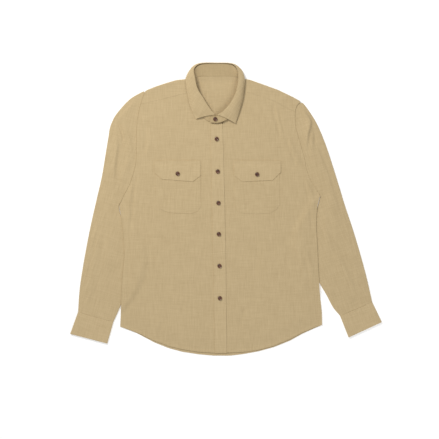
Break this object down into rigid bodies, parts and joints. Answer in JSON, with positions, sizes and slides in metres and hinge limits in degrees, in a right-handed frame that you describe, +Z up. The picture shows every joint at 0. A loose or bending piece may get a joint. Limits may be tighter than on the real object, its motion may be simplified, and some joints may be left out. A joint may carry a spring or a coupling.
{
  "type": "button-down shirt",
  "caption": "Long-sleeved shirt in plain slubbed cloth, buttoned and laid flat on its back, with a turned-down collar, a button placket and breast pockets under buttoned flaps.",
  "frame": {"origin": "middle of the shirt's outline, on the surface it lies on", "axes": "+Z up from that surface, +X across the shirt to its wearer's left sleeve, +Y from the hem to the collar"},
  "size_m": [0.872, 0.8198, 0.0196],
  "materials": {
    "shirting": "plain weave with fine slubs, dull",
    "faced_shirting": "the same cloth, faced and edge-stitched",
    "button_horn": "mottled brown horn look, soft gloss"
  },
  "bodies": {
    "root": {"back_panel": "shirting", "front_right": "shirting", "front_left": "shirting", "placket": "faced_shirting", "yoke": "shirting", "sleeve_right": "shirting", "sleeve_left": "shirting", "cuff_right": "faced_shirting", "cuff_left": "faced_shirting", "collar_stand": "faced_shirting", "collar_leaf": "faced_shirting", "pocket_right": "shirting", "pocket_left": "shirting", "flap_right": "faced_shirting", "flap_left": "faced_shirting", "button_collar": "button_horn", "button_front_1": "button_horn", "button_front_2": "button_horn", "button_front_3": "button_horn", "button_front_4": "button_horn", "button_front_5": "button_horn", "button_front_6": "button_horn", "button_flap_right": "button_horn", "button_flap_left": "button_horn"}
  },
  "joints": []
}
